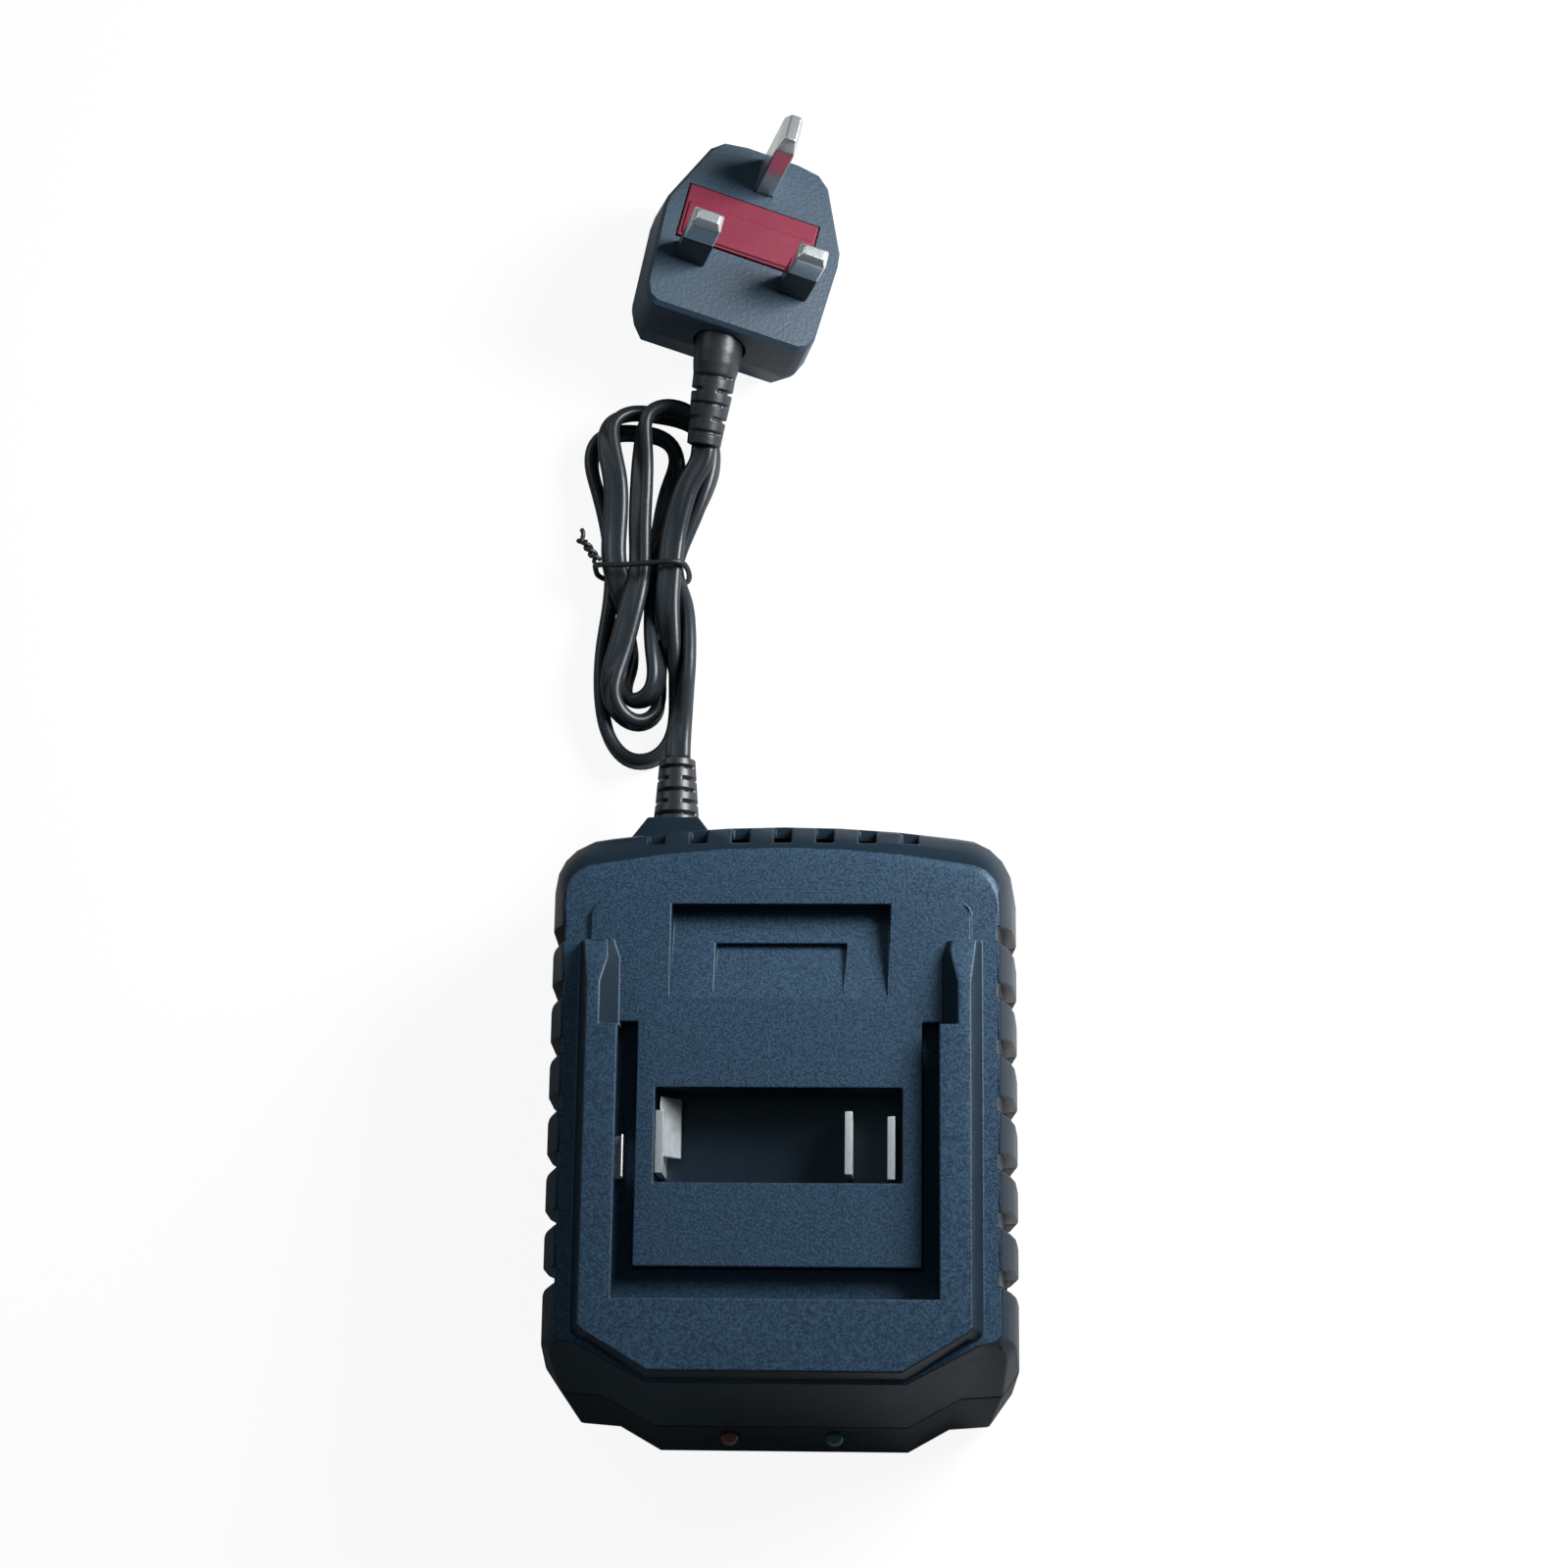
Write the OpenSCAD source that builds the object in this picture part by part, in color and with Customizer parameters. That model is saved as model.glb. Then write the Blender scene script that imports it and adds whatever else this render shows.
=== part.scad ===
// Battery charger for slide-on tool batteries, with a coiled mains lead and a
// three-pin plug. Millimetres, +Z up, +Y towards the back, where the lead
// comes out. The origin is on the table, under the middle of the charger.

/* [Case] */
// Width of the case at the seam between its two halves
case_w = 90; // [89:0.2:94]
// Distance from the origin forward to the foot of the nose
case_front = 60.4; // [60:0.2:63]
// Distance from the origin back to the rear wall
case_back = 57.4; // [57:0.2:60]
// Height of the seam above the table
seam_z = 17; // [16:0.5:19]
// Height of the ledge that runs round the top
ledge_z = 40; // [39:0.5:43]
// Thickness of the case walls
wall = 2.4; // [2:0.1:2.8]
// Height of the case's underside above the table
foot_gap = 1.5; // [1:0.1:2]
// Half width of the flat nose that carries the lights
nose_half = 23.9; // [22:0.1:25]
// Distance from the middle to where the nose's flanks meet the cheeks
cheek_x = 31.8; // [30:0.1:33]
// Distance of the cheeks behind the nose
cheek_set = 4.4; // [3:0.1:6]

/* [Grip notches and vents] */
// Number of notches down each side
notch_count = 7; // [3:1:7]
// Distance from one notch to the next
notch_pitch = 10.7; // [10:0.1:11.4]
// Position of the rearmost notch
notch_back = 33.4; // [31:0.1:35]
// Width of a notch at its mouth
notch_w = 5; // [3:0.1:6]
// Depth of a notch at the skirt; its floor slants in to the ledge's edge
notch_depth = 2.2; // [1:0.1:2.4]
// Number of vents over the rear shoulder
vent_count = 7; // [1:2:7]
// Distance from one vent to the next
vent_pitch = 8.1; // [7:0.1:8.5]
// Width of a vent
vent_w = 3.4; // [2:0.1:4]

/* [Battery seat] */
// Height of the battery's platform above the ledge
platform_rise = 0.8; // [0.4:0.1:1.6]
// Height of the rails above the ledge
rail_rise = 6; // [5.5:0.1:8]
// Half width over the outside of the rails, at the top
rail_half = 35.9; // [35.7:0.1:36.5]
// Half width between the lips of the rails
lip_half = 29.8; // [29:0.1:31]
// Thickness of the lips
lip_t = 2.4; // [2:0.1:2.8]
// Depth of the slot under each lip, outwards from the lip's edge
undercut = 3.6; // [3:0.1:4]
// Half width of the platform between the rails
platform_half = 26.7; // [26:0.1:27.2]
// Depth of the channels beside the platform
channel_deep = 4; // [3:0.1:4.4]
// Rear end of the rail posts
post_y = 32.5; // [31:0.1:34]
// Rear end of the lips
lip_y = 16; // [14:0.1:18]
// Front end of the platform
platform_front = -28.5; // [-30:0.1:-27]
// Front wall of the seat, which stops the battery
seat_front = -34.4; // [-36:0.1:-33.5]
// Half width of the latch recess
latch_half = 20.6; // [18:0.1:22]
// Rear wall of the latch recess
latch_back = 39.6; // [39:0.1:40]
// Length of the latch recess
latch_len = 18.2; // [15:0.1:19]
// Depth of the latch recess at its rear wall
latch_deep = 4.5; // [4.2:0.1:5]
// Width of the terminal window
window_w = 46; // [45.4:0.1:47]
// Length of the terminal window
window_l = 17.6; // [15:0.1:19]
// Middle of the terminal window
window_y = -4.1; // [-6:0.1:-2]

/* [Terminals] */
// Thickness of a terminal blade
blade_t = 1.4; // [1:0.1:1.6]
// Length of a terminal blade
blade_l = 11.8; // [10:0.1:13]
// Top of the blades above the table
blade_top = 39.8; // [38:0.1:40.4]
// Distance of the positive blade from the window's left edge
positive_in = 0.8; // [0.8:0.1:3]
// Distance of the sensing blade from the window's right edge
sense_in = 9.9; // [8:0.1:15]
// Distance of the negative blade from the window's right edge
negative_in = 2; // [0.8:0.1:5]

/* [Lights] */
// Diameter of an indicator light
light_d = 3.8; // [3:0.1:5]
// Distance of each light from the middle
light_x = 10; // [7:0.1:13]
// Height of the lights above the table
light_z = 12; // [11.5:0.1:13]

/* [Board] */
// Height of the board's underside above the table
board_z = 7.5; // [7:0.1:8]
// Thickness of the board
board_t = 1.6; // [1:0.1:2]
// Gap between the board's edge and the outside of the case
board_edge = 7; // [7:0.1:9]

/* [Screws and feet] */
// Distance of the case screws from the case's sides
screw_side = 11; // [10.9:0.1:12]
// Distance of the rear case screws from the rear wall
screw_rear = 15.4; // [14.9:0.1:16]
// Distance of the front case screws from the nose's foot
screw_nose = 22.4; // [22:0.1:23.4]
// Diameter of a case screw's shank
screw_d = 2.8; // [2:0.1:3]
// Diameter of a case screw's head
screw_head_d = 5.6; // [5:0.1:6]
// Diameter of a rubber foot
foot_d = 10; // [8:0.1:10.4]
// Distance of the feet from the case's sides
foot_side = 20; // [20:0.1:25]

/* [Mains lead] */
// Width of the flat twin flex
flex_w = 5.2; // [4.8:0.1:5.6]
// Thickness of the flat twin flex
flex_t = 2.8; // [2.4:0.1:3]
// Place of the lead's outlet across the case
outlet_x = -22.3; // [-24:0.1:-20]
// Length of the outlet's boss beyond the rear wall
boss_out = 3.2; // [2:0.1:4]
// Diameter of the neck that passes through the wall
neck_d = 6.4; // [6:0.1:7]
// Diameter at the foot of the charger's strain relief
relief_d = 9.2; // [8.4:0.1:10]
// Length of the charger's strain relief outside the boss
relief_l = 13.4; // [12:0.1:13.4]
// Height of the coiled hank
hank_h = 12.6; // [11:0.1:14]

/* [Plug] */
// Distance between the line and neutral pins
pin_span = 22.23; // [22.1:0.01:22.4]
// Distance from the line and neutral pins to the earth pin
earth_up = 22.23; // [22.1:0.01:22.4]
// Length of the line and neutral pins
pin_l = 17.7; // [17.2:0.1:18.2]
// Length of the earth pin
earth_l = 22.73; // [22:0.01:23.2]
// Length of the sleeves on the line and neutral pins
sleeve_l = 9.5; // [9:0.1:10]
// Depth of the plug's body behind its face
plug_deep = 23.3; // [21:0.1:23.6]
// Width of the fuse carrier
carrier_w = 28; // [27.8:0.1:28.2]
// Length of the fuse carrier towards the earth pin
carrier_l = 12; // [10:0.1:12.4]
// Diameter of the cartridge fuse
fuse_d = 6.3; // [6:0.1:6.4]
// Length of the cartridge fuse
fuse_l = 25.4; // [25:0.1:25.6]

/* [Hidden] */
$fn = 40;

// Gap left between a piece and the one it is put into
ease = 0.3;
// Gap between the strain relief's neck and the wall that it passes through
neck_gap = 0.15;
// Extra length of every cut beyond the surface that it opens
over = 1;

// Levels of the case
skirt_z = foot_gap + 1.5;
floor_z = foot_gap + wall;
roof_z = ledge_z - wall;
platform_z = ledge_z + platform_rise;
rail_z = ledge_z + rail_rise;
channel_z = platform_z - channel_deep;
board_top = board_z + board_t;

// Places inside the case
board_half = case_w / 2 - board_edge;
board_back = case_back - 21.4;
board_front = 28.4 - case_front;
screw_x = case_w / 2 - screw_side;
screw_back = case_back - screw_rear;
screw_front = screw_nose - case_front;
foot_x = case_w / 2 - foot_side;
foot_y = [screw_front + 4, screw_back - 6];
board_screw_x = board_half - 5;
board_screw_y = [board_front + 5, board_back - 6];
panel_back = case_back - 14.7;
sink_x = 2 - board_half;

// Middle of each blade
positive_at = [positive_in - window_w / 2, window_y - 1.2];
sense_at = [window_w / 2 - sense_in, window_y - 1.3];
negative_at = [window_w / 2 - negative_in, window_y - 2.2];

// Leans of the nose and of the cheeks, in millimetres back for each one up
nose_lean = 0.3;
cheek_lean = 0.373;
cheek_spread = 0.146;
light_tilt = atan(nose_lean);

// Place and turn of the plug, which lies on its back with its pins up
plug_at = [-10.3, 175.2, 27];
plug_turn = [-5, 16, -14];
pin_w = 6.35;
pin_t = 4;
earth_w = 4;
earth_t = 7.9;
pin_root = 8;
neck_cut = 0.8;
carrier_x = -1;
carrier_y = 9.2;
carrier_t = 2;
carrier_deep = 9.4;
fuse_z = -carrier_t - ease - fuse_d / 2;
plug_relief_at = [-15.2, 162.5, 19.9];
plug_relief_end = [-18.5, 141.8, 15];

// Where the flex leaves the charger's strain relief
outlet_y = case_back + boss_out;
// Route of the flex from the strain relief down into the hank
lead_route = [
    [outlet_x, outlet_y + relief_l, seam_z], [outlet_x, outlet_y + relief_l + 2, seam_z],
    [-22.3, 80, 16.2], [-22, 86, 13.5], [-21.8, 93, 10], [-21.9, 101, 8]
];
// Route of the flex from the hank up to the plug's strain relief
tail_route = [
    [-22.6, 122, 8.5], [-21.4, 129, 10.6], [-19.9, 134.5, 12.9],
    plug_relief_end + 3 * unit(plug_relief_end - plug_relief_at), plug_relief_end
];
// Outline of the hank, drawn in by its tie
hank_outline = [
    [-30, 75.6], [-24, 79], [-21, 88], [-20.6, 100], [-21.3, 112],
    [-21.5, 119], [-16.6, 131], [-15.6, 141], [-16.6, 149], [-21, 153],
    [-28, 153.8], [-37, 152.6], [-42, 149.6], [-44, 145], [-43, 138],
    [-39.8, 124], [-39.2, 116], [-40.6, 104], [-41, 94], [-39, 84],
    [-35, 77.4]
];
hank_z = 1.3;
tie_y = 117;
tie_x = [-40.5, -20.2];

function unit(v) = v / norm(v);
function flip(p) = [for (i = [len(p) - 1 : -1 : 0]) [-p[i][0], p[i][1]]];
// A closed outline moved inwards by t
function inset(p, t) = let (n = len(p)) [
    for (i = [0 : n - 1])
        let (
            a = unit(p[i] - p[(i + n - 1) % n]),
            b = unit(p[(i + 1) % n] - p[i]),
            na = [-a[1], a[0]],
            nb = [-b[1], b[0]]
        )
        p[i] + t * (na + nb) / (1 + na * nb)
];
function at_level(p, z) = [for (q = p) [q[0], q[1], z]];

// How far the sides and the back draw in from the seam at each level
function side_in(z) = lookup(z, [
    [skirt_z, 1], [seam_z, 0], [ledge_z - 9, 0.8], [ledge_z - 5.5, 1.4],
    [ledge_z - 2.5, 2.5], [ledge_z - 0.7, 3.4], [ledge_z, 3.8]
]);
function back_in(z) = lookup(z, [
    [skirt_z, 1.2], [seam_z, 0], [ledge_z - 9, 0.5], [ledge_z - 5.5, 1.5],
    [ledge_z - 2.5, 4.1], [ledge_z - 0.7, 6.5], [ledge_z, 8.2]
]);
function corner_r(z) = lookup(z, [[ledge_z - 9, 11], [ledge_z, 6.5]]);
function crown(z) = lookup(z, [[ledge_z - 9, 1.9], [ledge_z, 2.4]]);
// Points of a rear edge: a corner of radius r, then the crowned back
function rear_points(x, back, r, rise) = let (
        xc = x - r,
        yc = back - rise * pow(xc / 30, 2) - r
    )
    concat(
        [for (a = [0 : 18 : 90]) [xc + r * cos(a), yc + r * sin(a)]],
        [for (k = [0.66, 0.33]) [xc * k, back - rise * pow(xc * k / 30, 2)]]
    );
// Outline of the case at a level, from the nose round to the back
function case_half(z) = let (
        up = z - skirt_z,
        x = case_w / 2 - side_in(z),
        cut = lookup(z, [[skirt_z, 4.6], [ledge_z, 1]]),
        cheek = -case_front + cheek_set + cheek_lean * up
    )
    concat(
        [
            [nose_half, -case_front + nose_lean * up],
            [cheek_x + cheek_spread * up, cheek],
            [x - cut, cheek + 0.6],
            [x, cheek + 0.6 + 1.4 * cut]
        ],
        rear_points(x, case_back - back_in(z), corner_r(z), crown(z))
    );
function case_outline(z) = let (half = case_half(z))
    concat(half, [[0, case_back - back_in(z)]], flip(half));
// Outline of the rails and the front land at a height above the ledge
function rail_half_outline(up) = let (
        x = rail_half + 1.9 * (1 - up / rail_rise),
        back = 1.1 * up / rail_rise,
        front = -case_front + nose_lean * (ledge_z - skirt_z)
    )
    [
        [nose_half + 0.1 - back, front + 0.7 + back],
        [cheek_x + 3.2 - back, front + 7.6 + back * 0.6],
        [x - 1.2, front + 8 + back * 0.6],
        [x, front + 9.2 + back * 0.6],
        [x, post_y]
    ];
function rail_outline(up) = let (half = rail_half_outline(up))
    concat(half, flip(half));
// Outline of the slightly raised panel, rounded at its rear corners
function panel_outline() = let (
        half = concat([[rail_half, 0]], rear_points(rail_half, panel_back, 2.4, 2.2))
    )
    concat(half, [[0, panel_back]], flip(half));

// A closed skin over rings of equal numbers of points, its ends filled by strips
// from each point of the first half of a ring to its partner in the second half
module skin(rings) {
    n = len(rings[0]);
    m = len(rings);
    points = [for (r = rings) each r];
    walls = [
        for (i = [0 : m - 2], j = [0 : n - 1])
            let (k = (j + 1) % n)
            each [
                [i * n + j, (i + 1) * n + j, (i + 1) * n + k],
                [i * n + j, (i + 1) * n + k, i * n + k]
            ]
    ];
    top = (m - 1) * n;
    ends = [
        for (a = [0 : ceil(n / 2) - 2])
            let (b = a + 1, c = n - 2 - a, d = n - 1 - a)
            each concat(
                [[a, b, d], [top + d, top + b, top + a]],
                b == c ? [] : [[b, c, d], [top + d, top + c, top + b]]
            )
    ];
    polyhedron(points, concat(walls, ends));
}

// Flat flex swept along a route
module flex(route) {
    last = len(route) - 1;
    rings = [
        for (i = [0 : last])
            let (
                t = unit(route[min(i + 1, last)] - route[max(i - 1, 0)]),
                s = unit(cross([0, 0, 1], t)),
                u = cross(t, s)
            )
            [
                for (a = [0 : 45 : 315])
                    route[i] + s * flex_w / 2 * cos(a) + u * flex_t / 2 * sin(a)
            ]
    ];
    skin(rings);
}

module mirrored() {
    children();
    mirror([1, 0, 0]) children();
}

module at_screws() {
    for (x = [-screw_x, screw_x], y = [screw_front, screw_back])
        translate([x, y, 0]) children();
}

module at_board_screws() {
    for (x = [-board_screw_x, board_screw_x], y = board_screw_y)
        translate([x, y, 0]) children();
}

module at_feet() {
    for (x = [-foot_x, foot_x], y = foot_y)
        translate([x, y, 0]) children();
}

// A box from its lowest to its highest corner
module block(low, high) {
    translate(low) cube(high - low);
}

// A rod along +Y from a place
module rod_y(at, r, length) {
    translate(at) rotate([-90, 0, 0]) cylinder(r = r, h = length);
}

// Wedge across the case that ramps up to the platform at its front end
module ramp(half, back, length, deep) {
    translate([-half, 0, 0])
        rotate([90, 0, 90])
        linear_extrude(2 * half)
        polygon([
            [back, platform_z - deep], [back, platform_z + over],
            [back - length - over, platform_z + over],
            [back - length, platform_z]
        ]);
}

// The notches down both sides, cut from the skirt up through the ledge's edge
module notches() {
    floor_top = case_w / 2 - side_in(ledge_z) - 0.3;
    mouth_x = case_w / 2 + over;
    mirrored()
        for (i = [0 : notch_count - 1])
            translate([0, notch_back - i * notch_pitch, 0])
            skin([
                for (l = [[case_w / 2 - notch_depth, skirt_z - over], [floor_top, ledge_z + over]])
                    at_level([
                        [l[0], notch_w / 2 - 0.4], [l[0], 1.8 - notch_w / 2],
                        [mouth_x, -notch_w / 2 - 0.4], [mouth_x, notch_w / 2 - 0.1]
                    ], l[1])
            ]);
}

// Boss round the lead's outlet, shared by both halves
module outlet_boss(low, high) {
    translate([outlet_x, 0, low])
        linear_extrude(high - low)
        polygon([
            [-8.2, case_back - wall], [-8.2, case_back - 1],
            [-5, outlet_y], [5, outlet_y],
            [8.2, case_back - 1], [8.2, case_back - wall]
        ]);
}

// Space inside the case between two levels, left narrow behind the notches
module hollow(levels) {
    inner = case_w / 2 - side_in(ledge_z) - 2;
    intersection() {
        skin([
            for (l = levels)
                at_level(inset(case_outline(l[1]), wall), l[0])
        ]);
        block([-inner, -100, 0], [inner, 100, 100]);
    }
}

// Everything that keeps the roof's recesses closed from below
module roof_backing() {
    side = lip_half + undercut + 2;
    mirrored()
        block([platform_half - 2, seat_front - 2, channel_z - 2],
            [side, lip_y + 3, ledge_z]);
    block([-side, seat_front - 2, channel_z - 2],
        [side, platform_front + 2, ledge_z]);
    block([-latch_half - 2, latch_back - latch_len - 2, platform_z - latch_deep - 2],
        [latch_half + 2, latch_back + 2, ledge_z]);
    block([-window_w / 2 - 1.8, window_y - window_l / 2 - 1.8, holder_z],
        [window_w / 2 + 1.8, window_y + window_l / 2 + 1.8, ledge_z]);
    at_screws() translate([0, 0, seam_z]) cylinder(d = screw_d + 5.2, h = ledge_z - seam_z);
}

module top_shell() color("#1c2836") difference() {
    union() {
        skin([
            for (z = [seam_z, ledge_z - 9, ledge_z - 5.5, ledge_z - 2.5, ledge_z - 0.7, ledge_z])
                at_level(case_outline(z), z)
        ]);
        translate([0, 0, ledge_z - 0.5])
            linear_extrude(platform_rise + 0.5)
            polygon(panel_outline());
        skin([
            at_level(rail_outline(0), ledge_z - 0.4),
            at_level(rail_outline(0), ledge_z),
            at_level(rail_outline(rail_rise), rail_z)
        ]);
        outlet_boss(seam_z, seam_z + 7.5);
    }
    difference() {
        hollow([
            [seam_z - over, seam_z], [seam_z, seam_z],
            [ledge_z - 9, ledge_z - 9], [ledge_z - 5.5, ledge_z - 5.5],
            [roof_z, roof_z]
        ]);
        roof_backing();
    }
    // The seat between the lips, and the wider entry behind them
    block([-lip_half, seat_front, platform_z], [lip_half, lip_y + over, rail_z + over]);
    skin([
        for (l = [[0, 30.3, 31.8], [rail_rise + over, 34.4, 34.8]])
            at_level([
                [l[1], lip_y], [l[1], post_y - 3.6], [l[2], post_y + over],
                [-l[2], post_y + over], [-l[1], post_y - 3.6], [-l[1], lip_y]
            ], platform_z + l[0])
    ]);
    // Channels beside and before the platform, cut under the lips
    mirrored() {
        block([platform_half, seat_front, channel_z], [lip_half, lip_y + over, platform_z + over]);
        block([platform_half, seat_front, channel_z], [lip_half + undercut, lip_y, rail_z - lip_t]);
    }
    block([-lip_half, seat_front, channel_z], [lip_half, platform_front, platform_z + over]);
    // Ramps on top of the rail posts
    translate([-50, 0, 0])
        rotate([90, 0, 90])
        linear_extrude(100)
        polygon([
            [post_y + over, rail_z - 3.8], [post_y - 8.7, rail_z],
            [post_y - 8.7, rail_z + over], [post_y + over, rail_z + over]
        ]);
    ramp(latch_half, latch_back, latch_len, latch_deep);
    ramp(12.3, latch_back - 7.1, 10.9, 4.2);
    block([-window_w / 2, window_y - window_l / 2, holder_z - over],
        [window_w / 2, window_y + window_l / 2, platform_z + over]);
    notches();
    for (i = [0 : vent_count - 1])
        translate([(i - (vent_count - 1) / 2) * vent_pitch, 0, 0])
        block([-vent_w / 2, case_back - 5.2, seam_z + 15], [vent_w / 2, case_back + 5, ledge_z + over]);
    rod_y([outlet_x, case_back - 12, seam_z], neck_d / 2 + neck_gap, 20);
    at_screws() translate([0, 0, seam_z - over]) cylinder(d = screw_d, h = 8 + over);
}

module bottom_shell() color("#141b24") difference() {
    union() {
        difference() {
            union() {
                skin([
                    at_level(inset(case_outline(skirt_z), 1), foot_gap),
                    at_level(case_outline(skirt_z), skirt_z),
                    at_level(case_outline(seam_z), seam_z)
                ]);
                outlet_boss(seam_z - 7.5, seam_z);
            }
            hollow([
                [floor_z, skirt_z], [seam_z, seam_z], [seam_z + over, seam_z]
            ]);
        }
        at_screws() translate([0, 0, floor_z - 0.5])
            cylinder(d = screw_head_d + 3, h = seam_z - floor_z + 0.5);
        at_board_screws() translate([0, 0, floor_z - 0.5])
            cylinder(d = 6, h = board_z - floor_z + 0.5);
    }
    notches();
    rod_y([outlet_x, case_back - 12, seam_z], neck_d / 2 + neck_gap, 20);
    at_screws() {
        translate([0, 0, foot_gap - over]) cylinder(d = screw_head_d + 0.6, h = 4.5 + over);
        translate([0, 0, foot_gap]) cylinder(d = screw_d + 0.4, h = seam_z);
    }
    at_board_screws() translate([0, 0, floor_z + 0.4]) cylinder(d = 2.4, h = seam_z);
    at_feet() translate([0, 0, foot_gap - over]) cylinder(d = foot_d, h = 0.6 + over);
    for (x = [-light_x, light_x]) at_light(x) translate([0, 0, -6])
        cylinder(d = light_d + 0.1, h = 9);
}

module casing_screws() color("#9aa0a6") at_screws() {
    translate([0, 0, foot_gap + 2.7]) cylinder(d = screw_head_d, h = 1.8);
    translate([0, 0, foot_gap + 4.5]) cylinder(d = screw_d, h = seam_z - foot_gap + 2.5);
}

module rubber_feet() color("#0b0b0c") at_feet() cylinder(d = foot_d, h = foot_gap + 0.6);

module circuit_board() color("#2e6b3a") difference() {
    union() {
        block([-board_half, board_front, board_z], [board_half, board_back, board_top]);
        block([-light_x - 6, 11 - case_front, board_z], [light_x + 6, board_front + over, board_top]);
    }
    at_board_screws() translate([0, 0, board_z - over]) cylinder(d = 2.8, h = board_t + 2 * over);
}

module board_screws() color("#9aa0a6") at_board_screws() {
    translate([0, 0, board_top]) cylinder(d = 4.6, h = 1.5);
    translate([0, 0, floor_z + 0.8]) cylinder(d = 2.4, h = board_top - floor_z - 0.8);
}

module board_fuse() color("#c9b27a") translate([4 - board_half, 18, board_top]) {
    rod_y([0, -6, 3], 2.6, 12);
    block([-0.4, -5.4, 0], [0.4, -4.6, 3]);
    block([-0.4, 4.6, 0], [0.4, 5.4, 3]);
}

module surge_varistor() color("#2b62a8") translate([-12, 32, board_top]) {
    rod_y([0, -1.8, 9], 5.5, 3.6);
    block([-3, -0.4, 0], [-2.2, 0.4, 5]);
    block([2.2, -0.4, 0], [3, 0.4, 5]);
}

module suppression_capacitor() color("#c9a21c")
    block([9 - board_half, 12, board_top], [26 - board_half, 20, board_top + 14]);

module line_choke() color("#7a4a24") translate([0, 20, board_top]) {
    difference() {
        cylinder(r = 7, h = 8);
        translate([0, 0, -over]) cylinder(r = 3, h = 8 + 2 * over);
    }
}

module bridge_rectifier() color("#232326") block([4, 29, board_top], [13, 35, board_top + 4.2]);

module bulk_capacitor() color("#2a2f6a") translate([board_half - 14, 22, board_top])
    cylinder(r = 8, h = platform_z - latch_deep - 3.2 - board_top);

module heat_sink() color("#b4b7ba") {
    block([sink_x, -24, board_top], [sink_x + 2, 4, board_top + 20]);
    block([sink_x + 2, -24, board_top + 18], [sink_x + 7, 4, board_top + 20]);
}

module switch_transistor() color("#1d1d20") {
    block([sink_x + 2, -15, board_top + 2], [sink_x + 6.4, -5, board_top + 17]);
    for (y = [-12.5, -10, -7.5])
        block([sink_x + 3.8, y - 0.4, board_top], [sink_x + 4.6, y + 0.4, board_top + 2]);
}

module transformer_core() color("#3a3a3e") translate([-5, -24, board_top]) difference() {
    block([-12.5, -4, 1.5], [12.5, 4, 21.5]);
    block([-9, -5, 5], [-3.6, 5, 18]);
    block([3.6, -5, 5], [9, 5, 18]);
}

module transformer_coil() color("#d8c25a") translate([-5, -24, board_top]) difference() {
    union() {
        block([-9, -8, 0], [9, 8, 1.5]);
        block([-8.9, -7.5, 5.1], [8.9, 7.5, 17.9]);
        for (x = [-8.4, 7.4], y = [-7.8, 6.8]) block([x, y, 0.5], [x + 1, y + 1, 6]);
    }
    block([-3.6, -10, 4], [3.6, 10, 19]);
}

module output_diode() color("#1d1d20") translate([15, -24, board_top]) {
    rod_y([0, -5, 2.7], 2.7, 10);
    block([-0.4, -4.4, 0], [0.4, -3.6, 2.7]);
    block([-0.4, 3.6, 0], [0.4, 4.4, 2.7]);
}

module output_capacitor() color("#33373d") 
    translate([board_half - 9.5, holder_y[0] - 6, board_top]) cylinder(r = 5, h = 16);

module control_chips() color("#1d1d20") {
    block([-2, 0, board_top], [7.5, 6.4, board_top + 3.4]);
    block([-2, -10, board_top], [2.6, -3.6, board_top + 3.4]);
}

holder_z = ledge_z - 10;
holder_t = 4;
holder_half = window_w / 2 + 1.6;
holder_y = [window_y - window_l / 2 - 1.6, window_y + window_l / 2 + 1.6];

module blade_slot(at) {
    block([at[0] - blade_t / 2, at[1] - blade_l / 2, holder_z - holder_t - over],
        [at[0] + blade_t / 2, at[1] + blade_l / 2, holder_z + over]);
}

module terminal_holder() color("#0d0f12") difference() {
    union() {
        block([-holder_half, holder_y[0], holder_z - holder_t], [holder_half, holder_y[1], holder_z]);
        for (x = [-holder_half, holder_half - 1.2])
            block([x, holder_y[0] + 1.8, board_top], [x + 1.2, holder_y[1] - 1.8, holder_z - holder_t]);
    }
    blade_slot(positive_at);
    blade_slot(sense_at);
    blade_slot(negative_at);
}

// An upright blade with a narrow tail under the holder
module blade(at) {
    block([at[0] - blade_t / 2, at[1] - blade_l / 2, holder_z - holder_t - 1],
        [at[0] + blade_t / 2, at[1] + blade_l / 2, blade_top]);
    block([at[0] - blade_t / 2, at[1] - 1.5, holder_z - holder_t - 6],
        [at[0] + blade_t / 2, at[1] + 1.5, holder_z - holder_t]);
}

module positive_blade() color("#b9bec2") {
    blade(positive_at);
    // Flap folded down from the blade's upper edge
    translate([positive_at[0], window_y + 7.5, blade_top])
        rotate([90, 0, 0])
        linear_extrude(blade_l - 0.6)
        polygon([[0, -1.4], [3.6, -6], [3.6, -7.2], [0, -3]]);
}

module sense_blade() color("#b9bec2") blade(sense_at);

module negative_blade() color("#b9bec2") blade(negative_at);

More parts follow.
